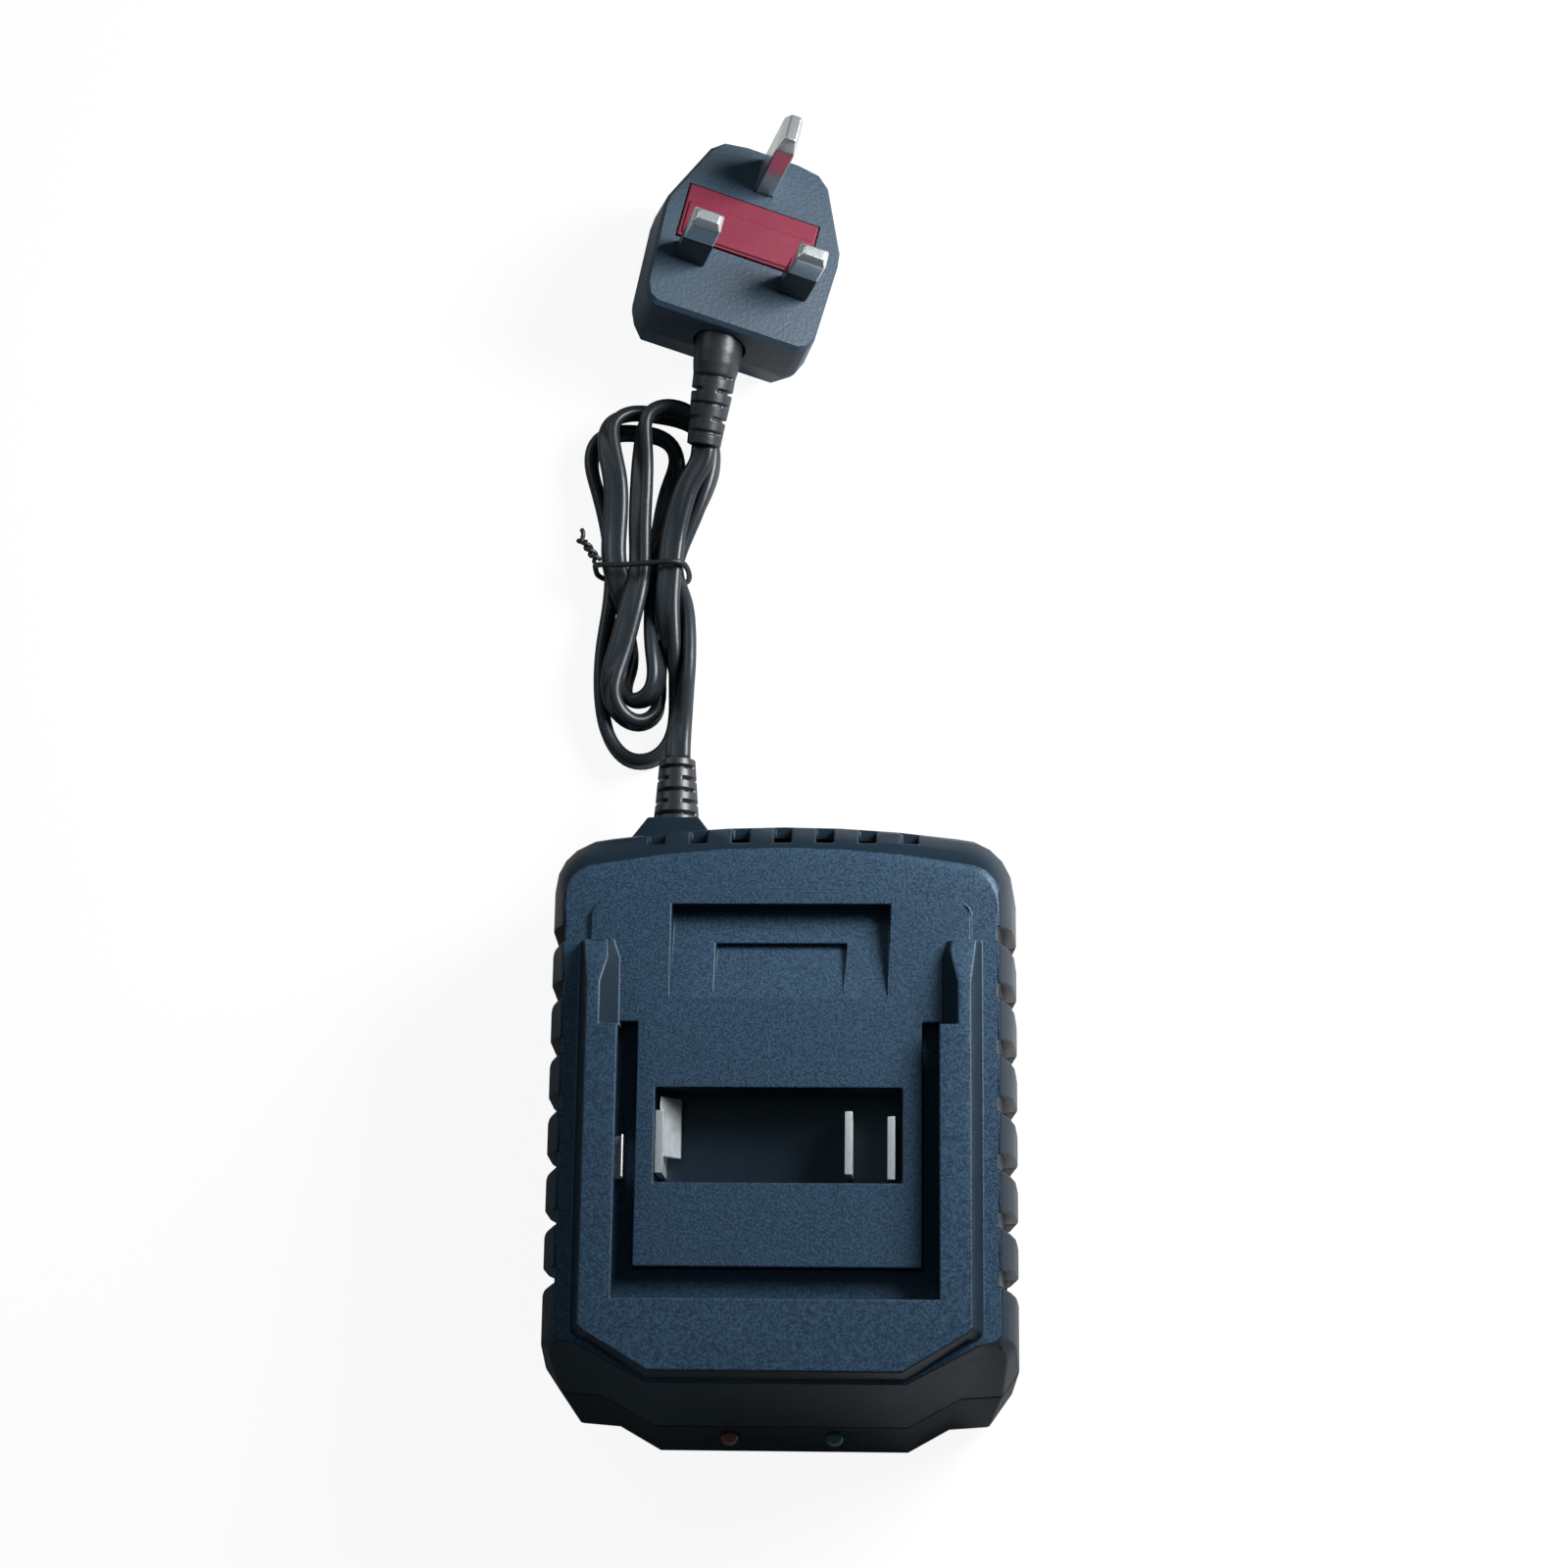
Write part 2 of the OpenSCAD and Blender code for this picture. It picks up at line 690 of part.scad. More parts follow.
// Leaf that clicks into the battery's foot, standing in the left channel
module detent_spring() color("#b9bec2") translate([-lip_half, -8, channel_z]) {
    block([-3.4, -4, 0], [0.9, 4, 0.4]);
    block([0.5, -4, 0], [0.9, 4, channel_deep - 0.6]);
}

module at_light(x) {
    translate([x, -case_front + nose_lean * (light_z - skirt_z), light_z])
        rotate([90 - light_tilt, 0, 0])
        children();
}

module light(x) {
    legs = (light_z - board_top) / sin(light_tilt) - 0.8;
    at_light(x) {
        sphere(d = light_d);
        translate([0, 0, -5.4]) cylinder(d = light_d, h = 5.4);
        translate([0, 0, -3.6]) cylinder(d = light_d + 1, h = 1);
        for (s = [-1.27, 1.27])
            translate([s, 0, -legs]) cylinder(r = 0.3, h = legs - 5);
    }
}

module red_light() color("#a02028") light(-light_x);

module green_light() color("#1d8a55") light(light_x);

module terminal_leads() color("#8c1c1c")
    for (at = [positive_at, sense_at, negative_at])
        translate([at[0], at[1], board_top])
        cylinder(r = 0.9, h = holder_z - holder_t - 6 - board_top);

module supply_leads() color("#3f5f9a")
    for (x = [outlet_x - 1.4, outlet_x + 1.4]) {
        rod_y([x, 33, seam_z], 1, relief_in_y - 33);
        translate([x, 33, board_top]) cylinder(r = 1, h = seam_z - board_top);
        translate([x, 33, seam_z]) sphere(r = 1);
    }

relief_in_y = case_back - wall - 3.9;

// Ribbed sleeve along +Z from its foot, each rib a little thinner than the last
module ribs(count, pitch, r0, r1) {
    for (i = [0 : count - 1]) {
        r = r0 + (r1 - r0) * i / (count - 1);
        translate([0, 0, i * pitch]) cylinder(r = r - 0.9, h = pitch);
        translate([0, 0, i * pitch + pitch * 0.3]) cylinder(r = r, h = pitch * 0.7);
    }
}

module cord_relief() color("#16191d") {
    rod_y([outlet_x, relief_in_y, seam_z], neck_d / 2 + 1.6, 2);
    rod_y([outlet_x, relief_in_y, seam_z], neck_d / 2, outlet_y - relief_in_y);
    translate([outlet_x, outlet_y, seam_z]) rotate([-90, 0, 0]) {
        cylinder(d = relief_d, h = 1.4);
        translate([0, 0, 1.4]) ribs(5, (relief_l - 1.4) / 5, relief_d / 2 - 0.2, relief_d / 2 - 0.9);
    }
}

module cord_lead() color("#0c0d10") flex(lead_route);

module cord_hank() color("#0c0d10") translate([0, 0, hank_z])
    linear_extrude(hank_h) polygon(hank_outline);

module hank_tie() color("#101010") {
    top = hank_z + hank_h;
    difference() {
        block([tie_x[0], tie_y - 0.7, 0.1], [tie_x[1], tie_y + 0.7, top + 1]);
        block([tie_x[0] + 0.9, tie_y - 2, hank_z - ease / 3], [tie_x[1] - 0.9, tie_y + 2, top + 0.1]);
    }
    translate([tie_x[0] + 0.3, tie_y, top - 2]) rotate([0, -90, -50]) cylinder(r = 0.6, h = 7);
}

module cord_tail() color("#0c0d10") flex(tail_route);

// Turns +Z to point from one place to another, standing at the first
module aim(from, to) {
    d = unit(to - from);
    translate(from) rotate([0, acos(d[2]), atan2(d[1], d[0])]) children();
}

plug_relief_l = norm(plug_relief_end - plug_relief_at);
plug_neck = 5.4;

module plug_relief() color("#16191d") aim(plug_relief_at, plug_relief_end) {
    translate([0, 0, -6]) cylinder(r = plug_neck, h = 8);
    translate([0, 0, 2]) cylinder(r1 = plug_neck, r2 = 4.4, h = 5);
    translate([0, 0, 7]) ribs(5, (plug_relief_l - 7) / 5, 4.5, 3.5);
}

module at_plug() {
    translate(plug_at) rotate(plug_turn) children();
}

// Half of the plug's face, from the flex's side round to the earth's
plug_half = [
    [15.4, -13.6], [18.2, -12.4], [19.8, -9.4], [20.8, 8.6], [20.4, 11.8],
    [12.9, 25.6], [10.2, 28.1], [5.4, 28.9]
];

module plug_body() color("#2a333d") difference() {
    at_plug() difference() {
        skin([
            for (l = [
                [-plug_deep, 7.2, 3.2], [1.6 - plug_deep, 5, 2.8], [-15, 0.6, 0],
                [-12, 0, 0], [-1, 0.7, 0], [0, 1.5, 0]
            ])
                at_level([
                    for (q = inset(concat(plug_half, flip(plug_half)), l[1]))
                        [q[0], q[1] - l[2]]
                ], l[0])
        ]);
        block(
            [carrier_x - carrier_w / 2 - ease, carrier_y - carrier_l / 2 - ease, -carrier_deep - 0.8],
            [carrier_x + carrier_w / 2 + ease, carrier_y + carrier_l / 2 + ease, over]
        );
        for (x = [-pin_span / 2, pin_span / 2])
            pin_bar(x, 0, pin_w - 2 * neck_cut, pin_t - 2 * neck_cut, -pin_root, over);
        pin_bar(0, earth_up, earth_w, earth_t, -pin_root, over);
    }
    aim(plug_relief_at, plug_relief_end) translate([0, 0, -6]) cylinder(r = plug_neck + neck_gap, h = 12);
}

// Bar of rectangular section between two levels
module pin_bar(x, y, w, t, low, high) {
    block([x - w / 2, y - t / 2, low], [x + w / 2, y + t / 2, high]);
}

// Tip of a pin, chamfered all round
module pin_tip(x, y, w, t, top) {
    skin([
        for (l = [[-1.6, 0], [0, 0.9]])
            at_level([
                [x - w / 2 + l[1], y - t / 2 + l[1]], [x + w / 2 - l[1], y - t / 2 + l[1]],
                [x + w / 2 - l[1], y + t / 2 - l[1]], [x - w / 2 + l[1], y + t / 2 - l[1]]
            ], top + l[0])
    ]);
}

module power_pins() color("#b9b4a6") at_plug()
    for (x = [-pin_span / 2, pin_span / 2]) {
        pin_bar(x, 0, pin_w - 2 * neck_cut, pin_t - 2 * neck_cut, -pin_root, sleeve_l);
        pin_bar(x, 0, pin_w, pin_t, sleeve_l, pin_l - 1.6);
        pin_tip(x, 0, pin_w, pin_t, pin_l);
    }

module pin_sleeves() color("#0e0f11") at_plug()
    for (x = [-pin_span / 2, pin_span / 2])
        difference() {
            pin_bar(x, 0, pin_w, pin_t, 0, sleeve_l);
            pin_bar(x, 0, pin_w - 2 * neck_cut, pin_t - 2 * neck_cut, -over, sleeve_l + over);
        }

module earth_pin() color("#b9b4a6") at_plug() {
    pin_bar(0, earth_up, earth_w, earth_t, -pin_root, earth_l - 1.6);
    pin_tip(0, earth_up, earth_w, earth_t, earth_l);
}

module fuse_carrier() color("#b3202c") at_plug() translate([carrier_x, carrier_y, 0]) {
    block([-carrier_w / 2, -carrier_l / 2, -carrier_t], [carrier_w / 2, carrier_l / 2, 0.4]);
    for (s = [-1, 1])
        translate([s * (carrier_w / 2 - 0.5), 0, 0])
        block([-0.5, -4, -carrier_deep], [0.5, 4, -carrier_t + 0.2]);
}

module plug_fuse() color("#c8ccd0") at_plug()
    translate([carrier_x - fuse_l / 2, carrier_y, fuse_z])
    rotate([0, 90, 0]) cylinder(d = fuse_d, h = fuse_l);

// Sprung contacts that the fuse's caps press into, fixed in the plug
module fuse_contacts() color("#c9a45a") at_plug()
    for (s = [-1, 1])
        translate([carrier_x + s * (fuse_l / 2 - 3), carrier_y, 0])
        difference() {
            block([-1.2, -4.1, -carrier_deep - 0.8], [1.2, 4.1, fuse_z + 1.6]);
            block([-2, -3.5, fuse_z - fuse_d / 2 - ease], [2, 3.5, over]);
        }

top_shell();
bottom_shell();
casing_screws();
rubber_feet();
circuit_board();
board_screws();
board_fuse();
surge_varistor();
suppression_capacitor();
line_choke();
bridge_rectifier();
bulk_capacitor();
switch_transistor();
heat_sink();
transformer_core();
transformer_coil();
output_diode();
output_capacitor();
control_chips();
terminal_holder();
positive_blade();
sense_blade();
negative_blade();
detent_spring();
red_light();
green_light();
terminal_leads();
supply_leads();
cord_relief();
cord_lead();
cord_hank();
hank_tie();
cord_tail();
plug_relief();
plug_body();
power_pins();
pin_sleeves();
earth_pin();
fuse_carrier();
plug_fuse();
fuse_contacts();
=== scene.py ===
import bmesh
import bpy
import numpy as np
from mathutils import Matrix


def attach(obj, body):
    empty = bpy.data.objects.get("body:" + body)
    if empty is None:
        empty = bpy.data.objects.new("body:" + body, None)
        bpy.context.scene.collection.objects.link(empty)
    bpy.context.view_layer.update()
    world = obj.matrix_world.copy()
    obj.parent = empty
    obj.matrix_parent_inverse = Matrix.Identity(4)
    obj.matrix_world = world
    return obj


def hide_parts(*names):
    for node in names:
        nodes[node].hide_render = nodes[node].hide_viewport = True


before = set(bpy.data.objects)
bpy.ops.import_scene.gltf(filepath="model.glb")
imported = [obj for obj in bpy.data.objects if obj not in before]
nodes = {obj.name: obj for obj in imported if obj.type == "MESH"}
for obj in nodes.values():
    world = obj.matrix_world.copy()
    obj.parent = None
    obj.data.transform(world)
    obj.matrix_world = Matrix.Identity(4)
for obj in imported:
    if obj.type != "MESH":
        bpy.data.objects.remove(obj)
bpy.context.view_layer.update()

# Camera. It stands almost straight above the charger, a little towards its
# nose, and is turned a few degrees so that the charger is upright in its view.
camera_data = bpy.data.cameras.new("camera")
camera_data.lens = 67.5
camera_data.sensor_width = 36
camera = bpy.data.objects.new("camera", camera_data)
bpy.context.scene.collection.objects.link(camera)
look = np.array([-0.0509, 0.2486, -0.9673])
right = np.array([0.9987, 0.0120, -0.0494])
up = np.cross(right, look)


def placed(item, side, rise, back, place):
    """Stands an object at a place, with its own axes along three vectors."""
    rows = [list(row) for row in zip(side, rise, back, place)]
    item.matrix_world = Matrix(rows + [[0, 0, 0, 1]])


placed(camera, right, up, -look, (0.0289, -0.07657, 0.584))
bpy.context.scene.camera = camera

# Mains flex. Flat twin PVC flex, 5.2 by 2.8 mm, black with a soft gloss, from
# the charger's strain relief through a hank of seven runs to the plug's relief.
# Columns: x, y, z in millimetres, and the roll of the flat section in degrees,
# 0 lying flat and 90 standing on its edge.
flex_knots = np.array([
    [-22.3, 74, 17, 0], [-22.3, 76.5, 17, 0], [-22.2, 80.5, 16.1, 15],
    [-21.8, 86, 13.4, 50], [-21.4, 92, 10.6, 70], [-21.3, 98, 9.5, 70],
    [-21.9, 104, 8.9, 50], [-23.4, 110.5, 8.3, 15], [-25.3, 117, 8.1, 0],
    [-24.2, 122, 8.2, 15], [-21.2, 128, 8.7, 50], [-18.4, 134, 9.3, 80],
    [-17, 139, 9.4, 90], [-17, 143.5, 9.5, 90], [-19, 148.3, 9.8, 90],
    [-22.8, 151.2, 10.3, 90], [-27, 151.8, 11, 90], [-30.4, 149.9, 11.5, 95],
    [-31.4, 146, 11, 115], [-31.6, 141, 10, 140], [-31.8, 134, 9.3, 155],
    [-31.9, 126, 8.9, 150], [-31.8, 117, 8.8, 150],
    [-32.4, 112, 9.8, 165], [-33.7, 106, 9.9, 178], [-35.2, 100, 9.5, 180],
    [-36.6, 95, 9.2, 160], [-37, 90.6, 8.6, 130], [-35.5, 87, 7.4, 112],
    [-31.8, 85, 5.8, 96], [-28.5, 86.9, 4.4, 88], [-27.6, 90.6, 3.8, 80],
    [-28, 95, 3.5, 62], [-27.7, 100, 3.4, 58], [-26.1, 108, 3.8, 80],
    [-25.4, 117, 4, 90],
    [-24.5, 123, 4, 90], [-21, 131, 4, 90], [-18.2, 137.5, 4, 90],
    [-17.3, 143, 4.1, 90], [-19.3, 148, 4.5, 90], [-24, 151.2, 5, 90],
    [-29.5, 152.2, 5.8, 92], [-34.6, 152, 7.2, 100], [-38.3, 149.3, 8.8, 125],
    [-38.8, 144.3, 9.5, 155], [-37.4, 137, 9.6, 175], [-37.1, 128, 8.9, 180],
    [-36.8, 117, 8.1, 180],
    [-35.3, 112, 7.5, 150], [-34.5, 107, 5.8, 115], [-33.9, 101, 4.2, 75],
    [-34.2, 97, 3.9, 68], [-34.9, 94, 4.2, 70], [-34.4, 90.9, 5.2, 74],
    [-31.6, 89.4, 6.8, 88], [-28.7, 90.8, 8.4, 108], [-27.7, 94, 9, 118],
    [-28.1, 98.5, 8.9, 118], [-28.9, 104.5, 7.3, 108], [-29.5, 111, 4.9, 95],
    [-29.6, 117, 4, 90],
    [-29.1, 121.5, 3.6, 65], [-27.9, 127, 2.4, 25], [-27, 132.5, 1.9, 8],
    [-25.9, 137.6, 2, 18], [-25.1, 141.8, 3, 60], [-25.9, 145.5, 3.9, 86],
    [-28.9, 147.9, 4, 90], [-32.9, 148.7, 4, 90], [-38, 148.7, 4, 90],
    [-41.8, 146.7, 4, 90],
    [-43, 142.3, 4, 90], [-41.9, 137, 4, 90], [-40.1, 130.5, 4, 90],
    [-38.7, 123.6, 4, 90], [-38.1, 117, 4, 90],
    [-38.4, 110, 4, 90], [-39.4, 102, 4, 90], [-39.7, 94, 4, 90],
    [-39, 87, 4, 90], [-36.9, 81, 4, 90], [-33, 77.5, 4, 90],
    [-28.6, 77.7, 4, 90], [-25.3, 81, 4, 90], [-24.1, 86, 4.2, 90],
    [-24, 91, 5.2, 90], [-24.2, 96.5, 7.7, 80], [-25, 102, 9.6, 45],
    [-25.6, 109, 10.9, 10], [-25.3, 117, 11, 0],
    [-24.9, 122, 11.1, 0], [-23.4, 129, 12.2, 10], [-21, 135.3, 13.4, 15],
    [-18.97, 138.9, 14.3, 15], [-18.5, 141.8, 15, 15],
])


def smooth_route(knots, step):
    """Natural cubic spline through rows of numbers.

    The parameter is the chord length of the first three columns. The second
    derivatives solve the tridiagonal system of a natural spline, and the
    curve is sampled about every `step`.
    """
    chord = np.linalg.norm(np.diff(knots[:, :3], axis=0), axis=1)
    t = np.concatenate([[0], np.cumsum(chord)])
    n = len(t)
    h = np.diff(t)
    system = np.eye(n)
    inner = np.arange(1, n - 1)
    system[inner, inner - 1] = h[:-1]
    system[inner, inner] = 2 * (h[:-1] + h[1:])
    system[inner, inner + 1] = h[1:]
    slope = np.diff(knots, axis=0) / h[:, None]
    bend = np.zeros_like(knots, dtype=float)
    bend[1:-1] = 6 * np.diff(slope, axis=0)
    bend = np.linalg.solve(system, bend)
    at = np.linspace(0, t[-1], int(t[-1] / step) + 2)
    i = np.clip(np.searchsorted(t, at, side="right") - 1, 0, n - 2)
    u = (at - t[i])[:, None]
    hi = h[i][:, None]
    first = slope[i] - hi * (2 * bend[i] + bend[i + 1]) / 6
    third = (bend[i + 1] - bend[i]) / (6 * hi)
    return knots[i] + u * (first + u * (bend[i] / 2 + u * third))


def unit_rows(a):
    """Each row of an array divided by its length."""
    return a / np.maximum(np.linalg.norm(a, axis=-1, keepdims=True), 1e-12)


def tube_rings(centre, wide, section):
    """Rings of a section carried along a line.

    The section's first number runs along `wide`, which is squared up to the
    line's direction, and its second along the remaining normal.
    """
    ahead = unit_rows(np.gradient(centre, axis=0))
    wide = unit_rows(wide - (wide * ahead).sum(1, keepdims=True) * ahead)
    thick = np.cross(ahead, wide)
    return (centre[:, None] + wide[:, None] * section[None, :, :1]
            + thick[:, None] * section[None, :, 1:])


def lofted(rings, flip=False):
    """Points and faces of a skin over an array of rings, with flat ends.

    Quads join each ring to the next, and `flip` turns all faces over, for
    rings that run clockwise as seen from the last one.
    """
    count, around = rings.shape[:2]
    row = np.arange(count - 1)[:, None] * around
    column = np.arange(around)
    here, beside = row + column, row + (column + 1) % around
    faces = np.stack([here, beside, beside + around, here + around], -1).reshape(-1, 4).tolist()
    faces.append(list(range((count - 1) * around, count * around)))
    faces.append(list(range(around))[::-1])
    if flip:
        faces = [face[::-1] for face in faces]
    return rings.reshape(-1, 3), faces


def joined(parts):
    """Several (points, faces) shapes as one."""
    points, faces, first = [], [], 0
    for p, f in parts:
        points.append(np.asarray(p, float))
        faces += [[i + first for i in face] for face in f]
        first += len(p)
    return np.concatenate(points), faces


def make_piece(name, shape, material):
    """Smooth object at the origin from (points, faces), in millimetres."""
    points, faces = shape
    mesh = bpy.data.meshes.new(name)
    mesh.from_pydata((np.asarray(points, float) * 0.001).tolist(), [], faces)
    mesh.polygons.foreach_set("use_smooth", np.full(len(mesh.polygons), True))
    mesh.materials.append(material)
    mesh.validate()
    mesh.update()
    piece = bpy.data.objects.new(name, mesh)
    bpy.context.scene.collection.objects.link(piece)
    return piece


def new_material(name):
    """Material, its node tree and the shader that it starts with."""
    material = bpy.data.materials.new(name)
    material.use_nodes = True
    return material, material.node_tree, material.node_tree.nodes["Principled BSDF"]


def noise(tree, size, detail, stretch=None):
    """Fractal noise over the piece's own coordinates, in cells of `size`
    metres, with the coordinates multiplied by `stretch` beforehand."""
    place = tree.nodes.new("ShaderNodeTexCoord").outputs["Object"]
    if stretch:
        mapping = tree.nodes.new("ShaderNodeMapping")
        mapping.inputs["Scale"].default_value = stretch
        tree.links.new(place, mapping.inputs["Vector"])
        place = mapping.outputs["Vector"]
    node = tree.nodes.new("ShaderNodeTexNoise")
    node.inputs["Scale"].default_value = 1 / size
    node.inputs["Detail"].default_value = detail
    tree.links.new(place, node.inputs["Vector"])
    return node.outputs["Fac"]


def ranged(tree, value, from_min, from_max, to_min, to_max):
    """Value carried from one range to another, and held at its ends."""
    node = tree.nodes.new("ShaderNodeMapRange")
    for key, number in (("From Min", from_min), ("From Max", from_max),
                        ("To Min", to_min), ("To Max", to_max)):
        node.inputs[key].default_value = number
    tree.links.new(value, node.inputs["Value"])
    return node.outputs["Result"]


def feed(tree, socket, value):
    """Links a node's output to a socket, or sets the socket to a value."""
    if isinstance(value, bpy.types.NodeSocket):
        tree.links.new(value, socket)
    else:
        socket.default_value = value


def mixed(tree, factor, low, high, kind="RGBA"):
    """Blend of two colours, or with kind FLOAT of two numbers. Each is a
    node's output or a plain value."""
    node = tree.nodes.new("ShaderNodeMix")
    node.data_type = kind
    tree.links.new(factor, node.inputs["Factor"])
    sockets = [s for s in node.inputs if s.enabled and s.name in "AB"]
    for socket, value in zip(sockets, (low, high)):
        if kind == "RGBA" and not isinstance(value, bpy.types.NodeSocket):
            value = (*np.clip(value, 0, 1), 1)
        feed(tree, socket, value)
    return next(s for s in node.outputs if s.enabled)


def grained(tree, height, distance, strength):
    """Bump on the shader's normal, `distance` metres high where `height`
    is 1."""
    bump = tree.nodes.new("ShaderNodeBump")
    bump.inputs["Distance"].default_value = distance
    feed(tree, bump.inputs["Strength"], strength)
    tree.links.new(height, bump.inputs["Height"])
    tree.links.new(bump.outputs["Normal"], tree.nodes["Principled BSDF"].inputs["Normal"])


def plastic(name, colour, rough, speckle=0.0, speckle_size=0.0006, bump=0.0,
            bump_size=0.0006, cloud=0.1, cloud_size=0.02, rough_vary=0.05, specular=0.5):
    """Moulded plastic.

    A base colour is clouded by slow noise and sprinkled with fine specks, the
    same slow noise varies the roughness, and a finer one is the bump. Sizes
    are in metres.
    """
    material, tree, shader = new_material(name)
    base = np.array(colour)
    slow = noise(tree, cloud_size, 3)
    shade = mixed(tree, slow, base * (1 - cloud), base * (1 + cloud))
    if speckle:
        specks = ranged(tree, noise(tree, speckle_size, 2), 0.56, 0.72, 0, 1)
        shade = mixed(tree, specks, shade, base * (1 + speckle) + 0.01 * speckle)
    tree.links.new(shade, shader.inputs["Base Color"])
    smoothest, roughest = max(rough - rough_vary, 0.02), min(rough + rough_vary, 1)
    tree.links.new(ranged(tree, slow, 0, 1, smoothest, roughest), shader.inputs["Roughness"])
    shader.inputs["IOR"].default_value = 1.46
    shader.inputs["Specular IOR Level"].default_value = specular
    if bump:
        grained(tree, noise(tree, bump_size, 2), bump_size / 2, bump)
    return material


flex_route = smooth_route(flex_knots, 1.0)
flex_line = flex_route[:, :3]
flex_ahead = unit_rows(np.gradient(flex_line, axis=0))
flex_side = unit_rows(np.cross(flex_ahead, [0, 0, 1]))
flex_rise = np.cross(flex_side, flex_ahead)
flex_roll = np.radians(flex_route[:, 3:])
flex_wide = np.cos(flex_roll) * flex_side + np.sin(flex_roll) * flex_rise
# Section: two round cores side by side with a groove between them
core_radius, core_offset, groove_half = 1.4, 1.2, 1.05
core_turn = np.radians(np.linspace(-125, 125, 13))
core = core_radius * np.stack([np.cos(core_turn), np.sin(core_turn)], 1) + [core_offset, 0]
core[[0, -1]] = [[0, -groove_half], [0, groove_half]]
mirrored = core[::-1] * [-1, 1]
flex_section = np.concatenate([core[:-1], mirrored[:-1]])
flex_black = plastic("flex pvc", (0.017, 0.022, 0.027), 0.32, bump=0.05, bump_size=0.002,
                     cloud=0.2, cloud_size=0.01, rough_vary=0.06, specular=0.34)
flex_skin = lofted(tube_rings(flex_line, flex_wide, flex_section))
flex = make_piece("mains_flex", flex_skin, flex_black)
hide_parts("cord_lead", "cord_hank", "cord_tail")
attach(flex, "charger")

# Case halves. The upper one is slate-blue ABS, spark-eroded where it lies flat and smooth on its
# sides, which are coloured darker than its flats, partly as painted shade. The lower one is dark
# ABS, coloured nearly black, partly as painted shade on its shaded nose. Walls are 2.4 mm, edges
# are broken by a few tenths of a millimetre, and four screws join them.


def softened(node, name, material, width, finish=None, clamp=False, reshape=None, spare=None):
    """Copy of a moulding with its edges broken.

    The triangles are merged, flat patches dissolved into whole faces, and a
    bevel of `width` millimetres rounds each edge sharper than 32 degrees, but
    for those whose middle `spare` picks out.
    `finish` gives each face a number from its normal and its middle, kept as a face attribute
    that picks both a finish and painted shade, and `reshape` moves the points before the bevel,
    both in millimetres.
    """
    shell = bmesh.new()
    shell.from_mesh(nodes[node].data)
    bmesh.ops.remove_doubles(shell, verts=shell.verts, dist=2e-6)
    bmesh.ops.dissolve_limit(shell, angle_limit=0.008, verts=shell.verts, edges=shell.edges)
    bmesh.ops.triangulate(shell, faces=shell.faces)
    weight = shell.edges.layers.float.new("bevel_weight_edge")
    for edge in shell.edges:
        sharp = len(edge.link_faces) == 2 and edge.calc_face_angle() > np.radians(32)
        middle = (edge.verts[0].co + edge.verts[1].co) / 2 * 1000
        edge[weight] = float(sharp and not (spare and spare(middle)))
    mesh = bpy.data.meshes.new(name)
    shell.to_mesh(mesh)
    shell.free()
    if reshape:
        points = np.empty(len(mesh.vertices) * 3)
        mesh.vertices.foreach_get("co", points)
        moved = reshape(points.reshape(-1, 3) * 1000) / 1000
        mesh.vertices.foreach_set("co", moved.ravel())
    mesh.materials.clear()
    mesh.materials.append(material)
    count = len(mesh.polygons)
    mesh.polygons.foreach_set("material_index", np.zeros(count, dtype=np.int32))
    mesh.polygons.foreach_set("use_smooth", np.ones(count, dtype=bool))
    if finish:
        normals, middles = np.empty((2, count * 3), dtype=np.float32)
        mesh.polygons.foreach_get("normal", normals)
        mesh.polygons.foreach_get("center", middles)
        value = finish(normals.reshape(-1, 3), middles.reshape(-1, 3) * 1000)
        # Face number that picks a finish and, with it, painted shade
        grain_and_shade = mesh.attributes.new("grain_and_shade", "FLOAT", "FACE")
        grain_and_shade.data.foreach_set("value", value.astype(np.float32))
    piece = bpy.data.objects.new(name, mesh)
    bpy.context.scene.collection.objects.link(piece)
    rounding = piece.modifiers.new("edges", "BEVEL")
    rounding.width = width * 0.001
    rounding.segments = 2
    rounding.limit_method = "WEIGHT"
    rounding.use_clamp_overlap = clamp
    level_shading(piece)
    return piece


def level_shading(piece):
    """Shades large faces flat, and lets the small ones between them turn."""
    piece.modifiers.new("shading", "WEIGHTED_NORMAL").weight = 90


